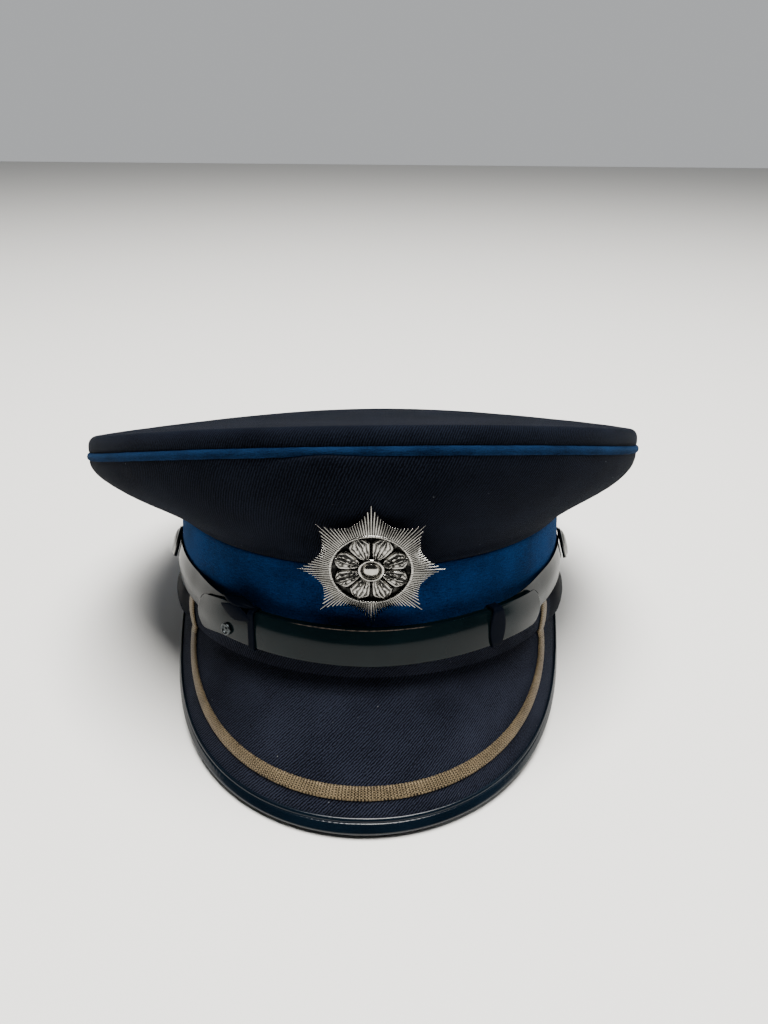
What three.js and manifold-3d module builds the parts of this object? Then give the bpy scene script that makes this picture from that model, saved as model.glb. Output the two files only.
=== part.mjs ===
import * as THREE from 'three';
import { mergeVertices } from 'three/addons/utils/BufferGeometryUtils.js';
import Module from 'manifold-3d';

const wasm = await Module();
wasm.setup();
const { Manifold, Mesh } = wasm;

const turn = 2 * Math.PI;
const quarter = Math.PI / 2;
const gap = 0.3;

// The cap leans back on its rear edge, its front resting on the peak
const stance = { tilt: 0.19819, rise: 20.2801, centreX: 3.1, centreY: -0.322 };

// Head opening and band, half sizes across and fore-and-aft
const band = { across: 87.6, along: 101.4, wall: 3, lean: 0.8, foot: 12.3, top: 44.4, sway: 1.3 };
const edge = { proud: 2.6, height: 12 };

// Crown: seam loop, height at front, side and back, its slump to one side
const crown = {
  across: 124.25, along: 125.85, back: 3.9, shift: -3.1, slant: 2.4, squareness: 0.009,
  front: 89.3, side: 64.8, rear: 56.25, rim: 8.5, wall: 2,
};
// Side panel: how far out and up its curve is drawn near the band and near the seam
const quarters = { wall: 2.4, lowOut: 0.497, lowUp: 0.306, highOut: 1.018, highUp: 0.511, frontOut: -0.256 };
const piping = { radius: 1.8, inset: 1.3 };

// Peak: length at the centre, slope at centre and ends, spread to each side
const peak = {
  length: 54.57, power: 0.97, spread: 1.3932, slopeCentre: 0.9785, slopeEnd: 1.474,
  board: 2.4, camber: 1.1, cut: 0.972, turn: -0.018,
};
const binding = { skin: 0.7, show: 6, showEnd: 3.4, back: 1.4 };
const braid = { outer: 42.6, outerSpread: 1.01, inner: 38.1, innerSpread: 0.955, power: 0.69, thick: 1, cut: 0.985 };

// Chin strap: two layers round the front, low at the centre, rising to the buttons
const strap = {
  half: 7, thick: 1.8, level: 14.8, climb: 9.8, button: 1.405, stand: 3.4, close: 0.6,
  letOutFrom: 0.6, letOutTo: 0.95, end: 1.5, tabLeft: -0.835, tabRight: 0.84, tabRound: 7,
};
const keeper = { skin: 0.8, left: -0.47, leftWidth: 2.6, right: 0.53, rightWidth: 7 };
const stud = { at: -0.597, up: -3.2, radius: 2.5, height: 1.1 };
const button = { radius: 7.2, height: 2.4, washer: 7.4, washerThick: 0.8, lean: 0.1 };

// Rayed star: tip radius, pierced centre, height and lean
const star = {
  radius: 25.5, hole: 13.6, boss: 4.2, x: 1.1, y: -100, z: 88.6, lean: 0.09,
  plate: 1, ray: 0.8, tips: 8, raysPerTip: 8,
};

function ovalPoint(phi, out, z) {
  const x = (band.across + out) * Math.sin(phi);
  const y = -(band.along + out) * Math.cos(phi);
  return new THREE.Vector3(x, y, z);
}

function ovalNormal(phi) {
  return new THREE.Vector3(Math.sin(phi) / band.across, -Math.cos(phi) / band.along, 0).normalize();
}

function smooth(value, from, to) {
  return THREE.MathUtils.smoothstep(value, from, to);
}

function bandTop(phi) {
  return band.top - band.sway * Math.cos(2 * phi);
}

// Saddle of the crown at a fraction of its width, lifted above the seam
function crownPoint(phi, fraction, inset, lift) {
  const wave = 1 - crown.squareness + crown.squareness * Math.cos(4 * phi);
  const mean = (crown.front + 2 * crown.side + crown.rear) / 4;
  const pitch = (crown.front - crown.rear) / 2;
  const saddle = (crown.front - 2 * crown.side + crown.rear) / 4;
  const x = crown.shift + (crown.across * wave * fraction - inset) * Math.sin(phi);
  const y = crown.back - (crown.along * wave * fraction - inset) * Math.cos(phi);
  const tip = pitch * Math.cos(phi) + crown.slant * Math.sin(phi);
  const z = mean + fraction * tip + saddle * fraction * fraction * Math.cos(2 * phi);
  return new THREE.Vector3(x, y, z + lift);
}

// Side panel between band and seam, set in by a depth: narrow at the band, full below the seam
function quarterPoint(phi, along, depth) {
  const foot = ovalPoint(phi, -band.lean, bandTop(phi) + gap);
  const head = crownPoint(phi, 1, 0.4, -piping.radius - gap);
  const drawn = (out, up) => new THREE.Vector3(
    THREE.MathUtils.lerp(foot.x, head.x, out),
    THREE.MathUtils.lerp(foot.y, head.y, out),
    THREE.MathUtils.lerp(foot.z, head.z, up),
  );
  const low = drawn(quarters.lowOut + quarters.frontOut * Math.max(0, Math.cos(phi)), quarters.lowUp);
  const curve = new THREE.CubicBezierCurve3(foot, low, drawn(quarters.highOut, quarters.highUp), head);
  const point = curve.getPoint(along);
  const slope = curve.getTangent(along);
  const around = new THREE.Vector3(Math.cos(phi), Math.sin(phi), 0);
  const inward = slope.cross(around).normalize().lerp(ovalNormal(phi).negate(), smooth(along, 0.6, 1));
  return point.addScaledVector(inward.normalize(), depth);
}

// Closed ring or cap whose stations are walked counter-clockwise in section
function revolved(stations, segments) {
  const outline = stations.map((station, i) => new THREE.Vector2(i + 1, i));
  const geometry = new THREE.LatheGeometry(outline, segments);
  const place = geometry.attributes.position;
  for (let k = 0; k < place.count; k += 1) {
    const phi = turn * Math.floor(k / stations.length) / segments;
    const point = stations[k % stations.length](phi);
    place.setXYZ(k, point.x, point.y, point.z);
  }
  return geometry;
}

// Section pushed along a way: place(u, v, w) with w running 0 to 1
function swept(section, steps, place, opening = null) {
  const shape = new THREE.Shape(section.map(([u, v]) => new THREE.Vector2(u, v)));
  if (opening) {
    shape.holes.push(new THREE.Path(opening.map(([u, v]) => new THREE.Vector2(u, v))));
  }
  const geometry = new THREE.ExtrudeGeometry(shape, { steps, depth: 1, bevelEnabled: false });
  const spots = geometry.attributes.position;
  for (let k = 0; k < spots.count; k += 1) {
    const point = place(spots.getX(k), spots.getY(k), spots.getZ(k));
    spots.setXYZ(k, point.x, point.y, point.z);
  }
  return geometry;
}

function asManifold(geometry) {
  const bare = new THREE.BufferGeometry();
  bare.setAttribute('position', geometry.attributes.position);
  bare.setIndex(geometry.index);
  const welded = mergeVertices(bare, 1e-4);
  const mesh = new Mesh({
    numProp: 3,
    vertProperties: new Float32Array(welded.attributes.position.array),
    triVerts: new Uint32Array(welded.index.array),
  });
  mesh.merge();
  return new Manifold(mesh);
}

function asGeometry(solid) {
  const mesh = solid.getMesh();
  const geometry = new THREE.BufferGeometry();
  geometry.setAttribute('position', new THREE.BufferAttribute(new Float32Array(mesh.vertProperties), 3));
  geometry.setIndex(new THREE.BufferAttribute(new Uint32Array(mesh.triVerts), 1));
  return geometry;
}

function joined(geometries) {
  return asGeometry(geometries.map(asManifold).reduce((sum, next) => sum.add(next)));
}

function crownTopGeometry() {
  const rim = [[0.4, 2.1], [1, 4.2], [1.8, 6.4], [3, 7.9], [5.4, 8.5]];
  const inner = [[2.4, 2.1], [3, 4], [3.9, 5.5], [5.9, 6.5]];
  const rings = [0.8, 0.45, 0];
  const level = crown.rim - crown.wall;
  const onRim = ([inset, lift]) => (phi) => crownPoint(phi, 1, inset, lift);
  const onTop = (lift) => (fraction) => (phi) => crownPoint(phi, fraction, 0, lift);
  return revolved([
    ...[...rings].reverse().map(onTop(level)),
    ...[...inner].reverse().map(onRim),
    ...rim.map(onRim),
    ...rings.map(onTop(crown.rim)),
  ], 60);
}

function pipingGeometry() {
  const sides = 8;
  const stations = Array.from({ length: sides + 1 }, (item, i) => {
    const angle = turn * i / sides;
    const inset = piping.inset - piping.radius * Math.cos(angle);
    const lift = piping.radius * Math.sin(angle);
    return (phi) => crownPoint(phi, 1, inset, lift);
  });
  return revolved(stations, 60);
}

function quartersGeometry() {
  const steps = [0, 0.22, 0.46, 0.7, 0.88, 1];
  const outer = steps.map((along) => (phi) => quarterPoint(phi, along, 0));
  const inner = steps.map((along) => (phi) => quarterPoint(phi, along, quarters.wall));
  return revolved([...outer, ...inner.reverse(), outer[0]], 60);
}

function bandGeometry() {
  const outer = (phi) => ovalPoint(phi, 0, band.foot);
  return revolved([
    outer,
    (phi) => ovalPoint(phi, -band.lean, bandTop(phi)),
    (phi) => ovalPoint(phi, -band.lean - band.wall, bandTop(phi)),
    (phi) => ovalPoint(phi, -band.wall, band.foot),
    outer,
  ], 60);
}

function bandEdgeGeometry() {
  const bulge = [[1.6, 0], [2.4, 2.4], [edge.proud, 5.5], [2.2, 9], [0.6, edge.height]];
  const inside = [[-band.wall, edge.height], [-band.wall, 0]];
  const stations = [...bulge, ...inside].map(([out, z]) => (phi) => ovalPoint(phi, out, z));
  return revolved([...stations, stations[0]], 60);
}

function peakLength(phi) {
  const part = Math.min(1, Math.abs(phi) / peak.spread);
  return peak.length * Math.cos(part * quarter) ** peak.power;
}

// Point on the peak: along from the band, above its upper face
function peakPoint(phi, along, above) {
  const part = Math.min(1, Math.abs(phi) / peak.spread);
  const slope = THREE.MathUtils.lerp(peak.slopeCentre, peak.slopeEnd, part * part);
  const out = ovalNormal(phi + peak.turn);
  const share = THREE.MathUtils.clamp(along / peakLength(phi), 0, 1);
  const bulge = peak.camber * Math.sin(Math.PI * share) * (1 - part * part);
  const up = above + bulge;
  const point = ovalPoint(phi + peak.turn, 0, -gap - along * Math.sin(slope) + up * Math.cos(slope));
  return point.addScaledVector(out, along * Math.cos(slope) + up * Math.sin(slope));
}

function peakBoardGeometry() {
  const rows = [0, 0.25, 0.5, 0.75, 1];
  const section = [
    ...rows.map((row) => [row, 0]),
    ...[...rows].reverse().map((row) => [row, -peak.board]),
  ];
  const limit = peak.spread * peak.cut;
  return swept(section, 44, (row, above, way) => {
    const phi = limit * Math.sin(quarter * (1 - 2 * way));
    const foot = above * (1 - row) / Math.tan(peak.slopeCentre);
    return peakPoint(phi, row * (peakLength(phi) - binding.back) - foot, above);
  });
}

function bindingGeometry() {
  const low = -peak.board;
  const skin = binding.skin;
  const section = [
    [-1, gap], [-1, gap + skin], [-0.22, gap + skin], [0, -0.3], [0, low + 0.3],
    [-0.22, low - gap - skin], [-0.8, low - gap - skin], [-0.8, low - gap],
    [-0.2, low - gap], [-0.2, gap],
  ];
  const limit = peak.spread * peak.cut;
  return swept(section, 46, (back, above, way) => {
    const phi = limit * Math.sin(quarter * (1 - 2 * way));
    const part = Math.abs(phi) / peak.spread;
    const show = Math.min(THREE.MathUtils.lerp(binding.show, binding.showEnd, part), 0.8 * peakLength(phi));
    const nose = binding.back - gap;
    const far = (-back - 0.2) / 0.8;
    const reach = back < -0.3 ? nose + far * (show - nose) : -back * nose / 0.2;
    return peakPoint(phi, peakLength(phi) - reach, above);
  });
}

function braidGeometry() {
  const section = [[0, gap], [1, gap], [1, gap + braid.thick], [0, gap + braid.thick]];
  return swept(section, 44, (across, above, way) => {
    const share = braid.cut * Math.sin(quarter * (1 - 2 * way));
    const phi = share * THREE.MathUtils.lerp(braid.innerSpread, braid.outerSpread, across);
    const arch = Math.cos(share * quarter) ** braid.power;
    return peakPoint(phi, arch * THREE.MathUtils.lerp(braid.inner, braid.outer, across), above);
  });
}

// Point on the chin strap: out from the band's side, up from the strap's middle
function strapPoint(phi, out, up) {
  const away = Math.abs(phi);
  const stand = THREE.MathUtils.lerp(strap.stand, strap.close, smooth(away, strap.letOutFrom, strap.letOutTo));
  const level = strap.level + strap.climb * (away / strap.button) ** 1.5;
  return ovalPoint(phi, stand + out, level + up);
}

function strapGeometry(from, to, layer, steps) {
  const inner = layer * (strap.thick + gap);
  const outer = inner + strap.thick;
  const soft = 0.4;
  const section = [
    [inner, -1], [outer - soft, -1], [outer, -0.94], [outer, 0.94], [outer - soft, 1], [inner, 1],
  ];
  return swept(section, steps, (out, share, way) => {
    const phi = THREE.MathUtils.lerp(to, from, (1 - Math.cos(Math.PI * way)) / 2);
    const arm = (band.across + band.along) / 2;
    const left = Math.min(Math.abs(phi - from), Math.abs(phi - to)) * arm;
    const away = strap.tabRound - Math.min(left, strap.tabRound);
    const half = Math.max(2.6, Math.sqrt(strap.half ** 2 - away ** 2));
    return strapPoint(phi, out, share * half);
  });
}

// Loop round both layers of the strap
function keeperGeometry(at, width) {
  const depth = 2 * strap.thick + gap;
  const frame = (grow) => [
    [-grow, -strap.half - grow], [depth + grow, -strap.half - grow],
    [depth + grow, strap.half + grow], [-grow, strap.half + grow],
  ];
  const reach = width / 2 / (band.across + 5);
  return swept(frame(gap + keeper.skin), 4, (out, up, way) => {
    return strapPoint(at + reach * (1 - 2 * way), out, up);
  }, frame(gap).reverse());
}

// Rounded lump of leather that follows the strap
function lumpGeometry(at, out, up, halves) {
  const geometry = new THREE.SphereGeometry(1, 12, 6);
  const spots = geometry.attributes.position;
  for (let k = 0; k < spots.count; k += 1) {
    const phi = at + spots.getX(k) * halves[0] / (band.across + 8);
    const point = strapPoint(phi, out + spots.getZ(k) * halves[1], up + spots.getY(k) * halves[2]);
    spots.setXYZ(k, point.x, point.y, point.z);
  }
  return geometry;
}

// Left keeper with its spare leather folded over the strap's upper edge
function keeperLeftGeometry() {
  const middle = keeper.left - 0.072;
  const depth = 2 * strap.thick + gap;
  return joined([
    keeperGeometry(keeper.left, keeper.leftWidth),
    lumpGeometry(middle, 2.6, strap.half + 2.05, [8, 3, 1.7]),
    lumpGeometry(middle, depth + gap + 0.75, 5.2, [7.2, 0.65, 3.4]),
  ]);
}

// Turn a shape made along +Y to face outward at a place on the strap
function outwardAt(geometry, phi, out, up, lean = 0) {
  const aim = ovalNormal(phi).multiplyScalar(Math.cos(lean)).setZ(Math.sin(lean));
  const facing = new THREE.Quaternion().setFromUnitVectors(new THREE.Vector3(0, 1, 0), aim);
  geometry.applyQuaternion(facing);
  const spot = strapPoint(phi, out, up);
  geometry.translate(spot.x, spot.y, spot.z);
  return geometry;
}

function lathed(profile, segments) {
  return new THREE.LatheGeometry(profile.map(([r, z]) => new THREE.Vector2(r, z)), segments);
}

function studGeometry() {
  const r = stud.radius;
  const h = stud.height;
  const profile = [
    [0, 0], [r, 0], [r, 0.5 * h], [0.86 * r, h], [0.62 * r, h], [0.52 * r, 0.5 * h],
    [0.3 * r, 0.5 * h], [0.16 * r, 0.85 * h], [0, 0.9 * h],
  ];
  return outwardAt(lathed(profile, 20), stud.at, 2 * strap.thick + 2 * gap, stud.up);
}

// Leather washer and button at each end of the strap, leaning out below
function washerGeometry(side) {
  const profile = [[0, 0], [button.washer, 0], [button.washer, button.washerThick], [0, button.washerThick]];
  const out = strap.thick + gap + button.washer * Math.sin(button.lean);
  return outwardAt(lathed(profile, 22), side * strap.button, out, 0, button.lean);
}

function buttonGeometry(side) {
  const r = button.radius;
  const h = button.height;
  const profile = [
    [0, 0], [0.9 * r, 0], [r, 0.16 * h], [0.96 * r, 0.34 * h], [0.86 * r, 0.42 * h],
    [0.72 * r, 0.68 * h], [0.44 * r, 0.91 * h], [0, h],
  ];
  const out = strap.thick + 2 * gap + button.washerThick + button.washer * Math.sin(button.lean);
  return outwardAt(lathed(profile, 22), side * strap.button, out, 0, button.lean);
}

// Outline of the star: long points with a hollow between
function starReach(angle) {
  const pitch = turn / star.tips;
  const off = Math.abs(angle - pitch * Math.round(angle / pitch)) / (pitch / 2);
  return star.radius * (0.665 + 0.335 * (1 - off) ** 2.3);
}

// Star with its pressed rays, made facing +Z with a pierced centre
function starPlateGeometry() {
  const columns = star.tips * star.raysPerTip * 2;
  const height = (angle, share) => {
    const ridge = Math.round(angle / turn * columns) % 2 === 0 ? 1 : 0;
    return star.plate + star.ray * (0.25 + 0.75 * ridge) * (1 - 0.55 * share);
  };
  const rim = (share, z) => (phi) => {
    const reach = THREE.MathUtils.lerp(star.hole, starReach(phi), share);
    const level = z === null ? height(phi, share) : z;
    return new THREE.Vector3(reach * Math.sin(phi), -reach * Math.cos(phi), level);
  };
  const start = rim(0, 0);
  return revolved([start, rim(1, 0), rim(1, null), rim(0, null), start], columns);
}

// Eight petals round a boss fill the pierced centre
function petalGeometry(angle) {
  const outline = new THREE.Shape();
  const reach = star.hole + 0.5;
  outline.moveTo(2.6, -0.7);
  outline.quadraticCurveTo(7.6, -3.3, reach, -0.9);
  outline.lineTo(reach, 0.9);
  outline.quadraticCurveTo(7.6, 3.3, 2.6, 0.7);
  const geometry = new THREE.ExtrudeGeometry(outline, { depth: 1.3, bevelEnabled: false, curveSegments: 4 });
  return geometry.rotateZ(angle);
}

function bossGeometry() {
  const r = star.boss;
  const profile = [
    [0, 0], [r, 0], [r, 1.6], [0.88 * r, 2], [0.74 * r, 1.8], [0.7 * r, 1.5], [0.62 * r, 1.6],
    [0.44 * r, 2.3], [0, 2.7],
  ];
  return lathed(profile, 16).rotateX(quarter);
}

function starGeometry() {
  const petals = Array.from({ length: star.tips }, (item, i) => petalGeometry((i + 0.5) * turn / star.tips));
  const whole = joined([starPlateGeometry(), bossGeometry(), ...petals]);
  whole.rotateX(quarter + star.lean);
  whole.translate(star.x, star.y, star.z);
  return whole;
}

// Lean the upright cap back onto the floor
function stood(geometry) {
  geometry.rotateX(-stance.tilt);
  geometry.translate(0, 0, stance.rise);
  return geometry;
}

function finish(colour, roughness, metalness) {
  return new THREE.MeshStandardMaterial({ color: colour, roughness, metalness });
}

function navyCloth() {
  return finish('#1b1f2a', 0.92, 0);
}

function blueFelt() {
  return finish('#0f3d70', 0.95, 0);
}

function patentLeather() {
  return finish('#0b0d10', 0.18, 0);
}

function metalBraid() {
  return finish('#8a7b5f', 0.5, 0.6);
}

function silverMetal() {
  return finish('#b9bcc0', 0.25, 1);
}

function blackSnap() {
  return finish('#33373c', 0.35, 0.7);
}

function part(name, geometry, material) {
  const mesh = new THREE.Mesh(geometry, material);
  mesh.name = name;
  mesh.geometry.translate(stance.centreX, stance.centreY, 0);
  return mesh;
}

function peakedCap() {
  const cap = new THREE.Group();
  cap.name = 'peaked_cap';
  cap.add(
    part('crown_top', stood(crownTopGeometry()), navyCloth()),
    part('crown_piping', stood(pipingGeometry()), blueFelt()),
    part('crown_quarters', stood(quartersGeometry()), navyCloth()),
    part('cap_band', stood(bandGeometry()), blueFelt()),
    part('band_edge', stood(bandEdgeGeometry()), patentLeather()),
    part('peak_board', stood(peakBoardGeometry()), navyCloth()),
    part('peak_binding', stood(bindingGeometry()), patentLeather()),
    part('peak_braid', stood(braidGeometry()), metalBraid()),
    part('strap_under', stood(strapGeometry(-strap.end, strap.end, 0, 46)), patentLeather()),
    part('strap_over', stood(strapGeometry(strap.tabLeft, strap.tabRight, 1, 36)), patentLeather()),
    part('keeper_left', stood(keeperLeftGeometry()), patentLeather()),
    part('keeper_right', stood(keeperGeometry(keeper.right, keeper.rightWidth)), patentLeather()),
    part('strap_stud', stood(studGeometry()), blackSnap()),
    part('badge_star', starGeometry(), silverMetal()),
  );
  for (const [word, side] of [['left', -1], ['right', 1]]) {
    cap.add(
      part(`washer_${word}`, stood(washerGeometry(side)), patentLeather()),
      part(`button_${word}`, stood(buttonGeometry(side)), silverMetal()),
    );
  }
  return cap;
}

export default peakedCap();
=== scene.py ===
import bpy
import bmesh
from math import atan2, cos, exp, hypot, pi, radians, sin, sqrt, tan
from mathutils import Matrix, Vector, noise


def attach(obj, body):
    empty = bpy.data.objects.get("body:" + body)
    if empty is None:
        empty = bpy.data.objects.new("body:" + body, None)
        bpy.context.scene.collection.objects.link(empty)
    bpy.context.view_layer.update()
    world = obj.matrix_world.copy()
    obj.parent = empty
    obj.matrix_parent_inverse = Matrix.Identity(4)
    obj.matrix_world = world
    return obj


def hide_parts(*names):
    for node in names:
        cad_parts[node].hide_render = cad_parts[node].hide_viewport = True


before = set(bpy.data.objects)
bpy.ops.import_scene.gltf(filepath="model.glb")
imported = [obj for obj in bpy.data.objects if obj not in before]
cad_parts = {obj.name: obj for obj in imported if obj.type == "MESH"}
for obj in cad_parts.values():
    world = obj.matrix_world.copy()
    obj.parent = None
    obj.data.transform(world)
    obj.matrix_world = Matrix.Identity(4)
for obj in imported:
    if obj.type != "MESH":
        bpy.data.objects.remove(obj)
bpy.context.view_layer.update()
mm = 0.001

# The same measures as the solids, in millimetres and radians
stance = {"tilt": 0.19819, "rise": 20.2801, "centreX": 3.1, "centreY": -0.322}
band = {"across": 87.6, "along": 101.4, "arm": 94.5, "lean": 0.8, "top": 44.4, "sway": 1.3}   # arm: its mean radius
crown = {"across": 124.25, "along": 125.85, "back": 3.9, "shift": -3.1, "slant": 2.4, "squareness": 0.009,
         "front": 89.3, "side": 64.8, "rear": 56.25}
gap = 0.3   # left between pieces that touch
ringRadius = 100   # closed rings are drawn at this radius before they are laid on


def toFloor(point):  # from the upright cap, in mm, to the leaning cap on the floor, in m
    lean = Matrix.Rotation(-stance["tilt"], 3, "X") @ Vector(point)
    return (lean + Vector((stance["centreX"], stance["centreY"], stance["rise"]))) * mm


def mix(a, b, share):
    return a + (b - a) * share


def ease(value, low, high):
    share = min(1, max(0, (value - low) / (high - low)))
    return share * share * (3 - 2 * share)


def hump(value, width):
    return exp(-(value / width) ** 2)


def uneven(x, y, z=0.0):  # slow random swell between about -1 and 1
    return noise.noise(Vector((x, y, z)))


def ovalPoint(phi, out, up):
    return Vector(((band["across"] + out) * sin(phi), -(band["along"] + out) * cos(phi), up))


def ovalNormal(phi):
    return Vector((sin(phi) / band["across"], -cos(phi) / band["along"], 0)).normalized()


def crownPoint(phi, fraction, inset, lift):
    wave = 1 - crown["squareness"] + crown["squareness"] * cos(4 * phi)
    mean = (crown["front"] + 2 * crown["side"] + crown["rear"]) / 4
    pitch = (crown["front"] - crown["rear"]) / 2
    saddle = (crown["front"] - 2 * crown["side"] + crown["rear"]) / 4
    x = crown["shift"] + (crown["across"] * wave * fraction - inset) * sin(phi)
    y = crown["back"] - (crown["along"] * wave * fraction - inset) * cos(phi)
    z = mean + fraction * (pitch * cos(phi) + crown["slant"] * sin(phi)) + saddle * fraction ** 2 * cos(2 * phi)
    return Vector((x, y, z + lift))


# Bench helpers: a blank is shaped in edit mode at its own size, mapped, then laid on the cap
def clearSelection():
    if bpy.context.mode != "OBJECT":
        bpy.ops.object.mode_set(mode="OBJECT")
    bpy.ops.object.select_all(action="DESELECT")


def takeUp(piece):
    clearSelection()
    piece.select_set(True)
    bpy.context.view_layer.objects.active = piece


def editAll(piece):
    takeUp(piece)
    bpy.ops.object.mode_set(mode="EDIT")
    bpy.ops.mesh.select_all(action="SELECT")


def newBlank(name):
    piece = bpy.context.object
    piece.name = name
    piece.data.name = name
    editAll(piece)
    return piece


def pickEdges(piece, test):
    bpy.ops.mesh.select_mode(type="EDGE")
    bpy.ops.mesh.select_all(action="DESELECT")
    mesh = bmesh.from_edit_mesh(piece.data)
    for edge in mesh.edges:
        if test(edge.verts[0].co / mm, edge.verts[1].co / mm):
            edge.select_set(True)
    bmesh.update_edit_mesh(piece.data)


def pickCorners(piece, test):
    bpy.ops.mesh.select_mode(type="VERT")
    bpy.ops.mesh.select_all(action="DESELECT")
    mesh = bmesh.from_edit_mesh(piece.data)
    for corner in mesh.verts:
        if test(corner.co / mm):
            corner.select_set(True)
    mesh.select_flush(True)
    bmesh.update_edit_mesh(piece.data)


def drawRing(name, stations, segments):
    # a circle drawn out to each (radius, height) in turn; ends at the axis become poles, other ends meet
    clearSelection()
    bpy.ops.mesh.primitive_circle_add(vertices=segments, radius=stations[0][0] * mm, fill_type="NOTHING")
    piece = newBlank(name)
    bpy.ops.transform.translate(value=(0, 0, stations[0][1] * mm))
    for (before, low), (after, high) in zip(stations, stations[1:]):
        bpy.ops.mesh.extrude_region_move(TRANSFORM_OT_translate={"value": (0, 0, (high - low) * mm)})
        bpy.ops.transform.resize(value=(after / before, after / before, 1))
    if stations[0] == stations[-1]:
        bpy.ops.mesh.select_all(action="SELECT")
        bpy.ops.mesh.remove_doubles(threshold=1e-6)
    else:
        for radius, height in (stations[-1], stations[0]):
            pickCorners(piece, lambda co: hypot(co.x, co.y) < radius + 0.01 and abs(co.z - height) < 0.01)
            bpy.ops.mesh.merge(type="CENTER")
    return piece


def drawStrip(name, section, length, cuts):
    # a flat outline of (y, z) corners drawn out along x and cut across evenly
    clearSelection()
    bpy.ops.mesh.primitive_circle_add(vertices=len(section), radius=mm, fill_type="NGON")
    piece = bpy.context.object
    for corner, (y, z) in zip(piece.data.vertices, section):
        corner.co = Vector((-length / 2, y, z)) * mm
    piece = newBlank(name)
    bpy.ops.mesh.extrude_region_move(TRANSFORM_OT_translate={"value": (length * mm, 0, 0)})
    for count in cuts:
        pickEdges(piece, lambda a, b: abs(a.x - b.x) > 0.01)
        bpy.ops.mesh.subdivide(number_cuts=count)
    return piece


def cutAcross(places, normal):
    for place in places:
        bpy.ops.mesh.select_all(action="SELECT")
        bpy.ops.mesh.bisect(plane_co=Vector(normal) * place * mm, plane_no=normal)


def steps(first, last, count):
    return [mix(first, last, (i + 0.5) / count) for i in range(count)]


def mapBlank(piece, lay, ring=True, flat=None):
    # clothMap holds the cut piece's own millimetres; a ring is unrolled round its axis, save where it lies flat
    clearSelection()
    layer = piece.data.uv_layers.new(name="clothMap")
    for face in piece.data.polygons:
        facing = atan2(face.center.x, -face.center.y)
        for i, corner in zip(face.loop_indices, face.vertices):
            co = piece.data.vertices[corner].co / mm
            if flat and flat(face.center / mm):
                layer.data[i].uv = (co.x, co.y)
            elif ring:
                turn = atan2(co.x, -co.y) if hypot(co.x, co.y) > 0.2 else facing
                turn += 2 * pi * round((facing - turn) / (2 * pi))
                layer.data[i].uv = lay(turn, hypot(co.x, co.y), co.z)
            else:
                layer.data[i].uv = lay(co.x, co.y, co.z)


def layOn(piece, place, ring=True):
    clearSelection()
    for corner in piece.data.vertices:
        co = corner.co / mm
        if ring:
            corner.co = toFloor(place(atan2(co.x, -co.y), hypot(co.x, co.y), co.z))
        else:
            corner.co = toFloor(place(co.x, co.y, co.z))
    editAll(piece)
    bpy.ops.mesh.normals_make_consistent(inside=False)
    bpy.ops.object.mode_set(mode="OBJECT")


def finishOn(piece, nodes, materials, angle):
    takeUp(piece)
    bpy.ops.object.shade_smooth_by_angle(angle=radians(angle))
    for material in materials:
        piece.data.materials.append(material)
    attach(piece, "root")
    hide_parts(*nodes)


# Material helpers
def newMaterial(name, **sockets):
    material = bpy.data.materials.new(name)
    material.use_nodes = True
    shader = material.node_tree.nodes["Principled BSDF"]
    for socket, value in sockets.items():
        shader.inputs[socket.replace("_", " ")].default_value = value
    return material, material.node_tree, shader


def addNode(tree, kind, inputs=None, **settings):
    node = tree.nodes.new(kind)
    for key, value in settings.items():
        setattr(node, key, value)
    for key, value in (inputs or {}).items():
        if hasattr(value, "is_output"):
            tree.links.new(value, node.inputs[key])
        else:
            node.inputs[key].default_value = value
    return node


def calc(tree, operation, a, b=0.0, clamp=False):
    return addNode(tree, "ShaderNodeMath", {0: a, 1: b}, operation=operation, use_clamp=clamp).outputs[0]


def addUp(tree, *parts):  # pairs of (value, weight)
    total = 0.0
    for value, weight in parts:
        total = calc(tree, "ADD", calc(tree, "MULTIPLY", value, weight), total)
    return total


def blendColours(tree, share, first, second):
    node = addNode(tree, "ShaderNodeMix", {0: share}, data_type="RGBA")
    for index, value in ((6, first), (7, second)):
        if hasattr(value, "is_output"):
            tree.links.new(value, node.inputs[index])
        else:
            node.inputs[index].default_value = (*value, 1)
    return node.outputs[2]


def ramp(tree, value, low, high, bottom=0.0, top=1.0):
    inputs = {"Value": value, "From Min": low, "From Max": high, "To Min": bottom, "To Max": top}
    return addNode(tree, "ShaderNodeMapRange", inputs).outputs[0]


def turned(tree, source, angle=0.0, scale=(1, 1, 1)):
    return addNode(tree, "ShaderNodeMapping", {"Vector": source, "Rotation": (0, 0, angle), "Scale": scale}).outputs[0]


waveScale = 0.31416   # a wave texture of this scale has one band in each unit


def ribs(tree, source, pitch, distortion=0.0, detail=1.0):
    values = {"Vector": source, "Scale": waveScale / pitch, "Distortion": distortion, "Detail": detail,
              "Detail Scale": 1.5}
    return addNode(tree, "ShaderNodeTexWave", values, wave_type="BANDS", bands_direction="X").outputs["Fac"]


def grain(tree, source, scale, detail=3.0, roughness=0.55):
    values = {"Vector": source, "Scale": scale, "Detail": detail, "Roughness": roughness}
    return addNode(tree, "ShaderNodeTexNoise", values).outputs["Fac"]


def raised(tree, shader, height, strength, distance):
    bump = addNode(tree, "ShaderNodeBump", {"Height": height, "Strength": strength, "Distance": distance})
    tree.links.new(bump.outputs[0], shader.inputs["Normal"])


def paint(tree, shader, socket, value):
    tree.links.new(value, shader.inputs[socket])


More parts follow.
